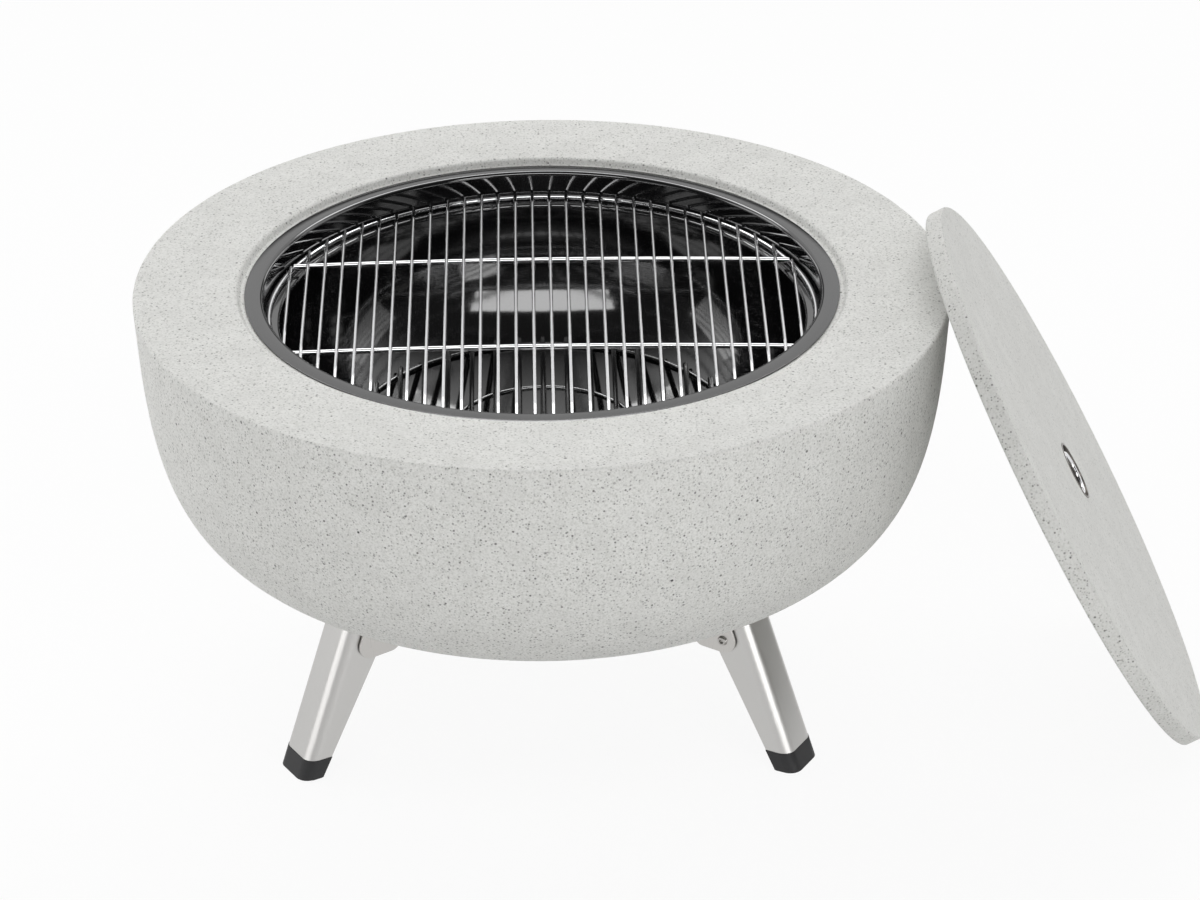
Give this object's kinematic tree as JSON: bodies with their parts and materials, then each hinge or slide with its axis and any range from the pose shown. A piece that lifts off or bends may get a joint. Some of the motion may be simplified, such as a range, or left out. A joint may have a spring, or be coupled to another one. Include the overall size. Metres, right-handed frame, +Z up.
{
  "type": "fire pit",
  "caption": "Round cast-stone fire pit with a hung steel fire bowl, charcoal and cooking grates, folding splayed legs, and a round stone lid with a ring pull leaning on its rim.",
  "frame": {"origin": "on the floor, under the middle of the box round the bowl and the leaning lid", "axes": "+Z up, +X from the bowl towards the leaning lid, -Y is the front"},
  "size_m": [0.9967, 0.7496, 0.4896],
  "materials": {
    "stone": "fine speckled, matt",
    "black_enamel": "gloss enamel",
    "black_wire": "satin enamel",
    "chrome_wire": "polished",
    "chrome_pull": "polished",
    "satin_steel": "satin",
    "fastener_steel": "plain",
    "black_plastic": "matt",
    "washer_plastic": "plain",
    "brass": "plain"
  },
  "bodies": {
    "bowl": {"stone_bowl": "stone", "bracket_inserts": "brass", "bracket_screws": "fastener_steel", "leg_bracket_left": "satin_steel", "leg_bracket_right": "satin_steel", "leg_bracket_rear": "satin_steel", "pivot_bolts": "fastener_steel", "pivot_weld_nuts": "fastener_steel", "pivot_washers": "washer_plastic"},
    "leg_left": {"leg_left": "satin_steel", "foot_cap_left": "black_plastic"},
    "leg_right": {"leg_right": "satin_steel", "foot_cap_right": "black_plastic"},
    "leg_rear": {"leg_rear": "satin_steel", "foot_cap_rear": "black_plastic"},
    "fire_bowl": {"fire_bowl": "black_enamel"},
    "charcoal_grate": {"charcoal_ring": "black_wire", "charcoal_inner_ring": "black_wire", "charcoal_rods": "black_wire"},
    "cooking_grate": {"grate_ring": "chrome_wire", "grate_rods": "chrome_wire", "grate_cross_rods": "chrome_wire"},
    "lid": {"lid_slab": "stone", "pull_cup": "chrome_pull", "pull_pin": "fastener_steel", "cup_screw": "fastener_steel", "lid_insert": "brass"},
    "pull_ring": {"pull_ring": "chrome_pull"}
  },
  "joints": [
    {"name": "leg_left_fold", "type": "hinge", "parent": "bowl", "child": "leg_left", "pos_m": [-0.29933, -0.1015, 0.127], "axis": [0.5, -0.866, 0], "range_deg": [0, 110]},
    {"name": "leg_right_fold", "type": "hinge", "parent": "bowl", "child": "leg_right", "pos_m": [0.05227, -0.1015, 0.127], "axis": [0.5, 0.866, 0], "range_deg": [0, 110]},
    {"name": "leg_rear_fold", "type": "hinge", "parent": "bowl", "child": "leg_rear", "pos_m": [-0.12353, 0.203, 0.127], "axis": [-1, 0, 0], "range_deg": [0, 110]},
    {"name": "fire_bowl_lift", "type": "slide", "parent": "bowl", "child": "fire_bowl", "axis": [0, 0, 1], "range_m": [0, 0.25]},
    {"name": "charcoal_grate_lift", "type": "slide", "parent": "fire_bowl", "child": "charcoal_grate", "axis": [0, 0, 1], "range_m": [0, 0.16]},
    {"name": "cooking_grate_lift", "type": "slide", "parent": "charcoal_grate", "child": "cooking_grate", "axis": [0, 0, 1], "range_m": [0, 0.1]},
    {"name": "lid_lift", "type": "slide", "parent": "bowl", "child": "lid", "axis": [0, 0, 1], "range_m": [0, 0.3]},
    {"name": "ring_turn", "type": "hinge", "parent": "lid", "child": "pull_ring", "pos_m": [0.35699, -0.03, 0.26833], "axis": [0, -1, 0], "range_deg": [0, 95]}
  ]
}
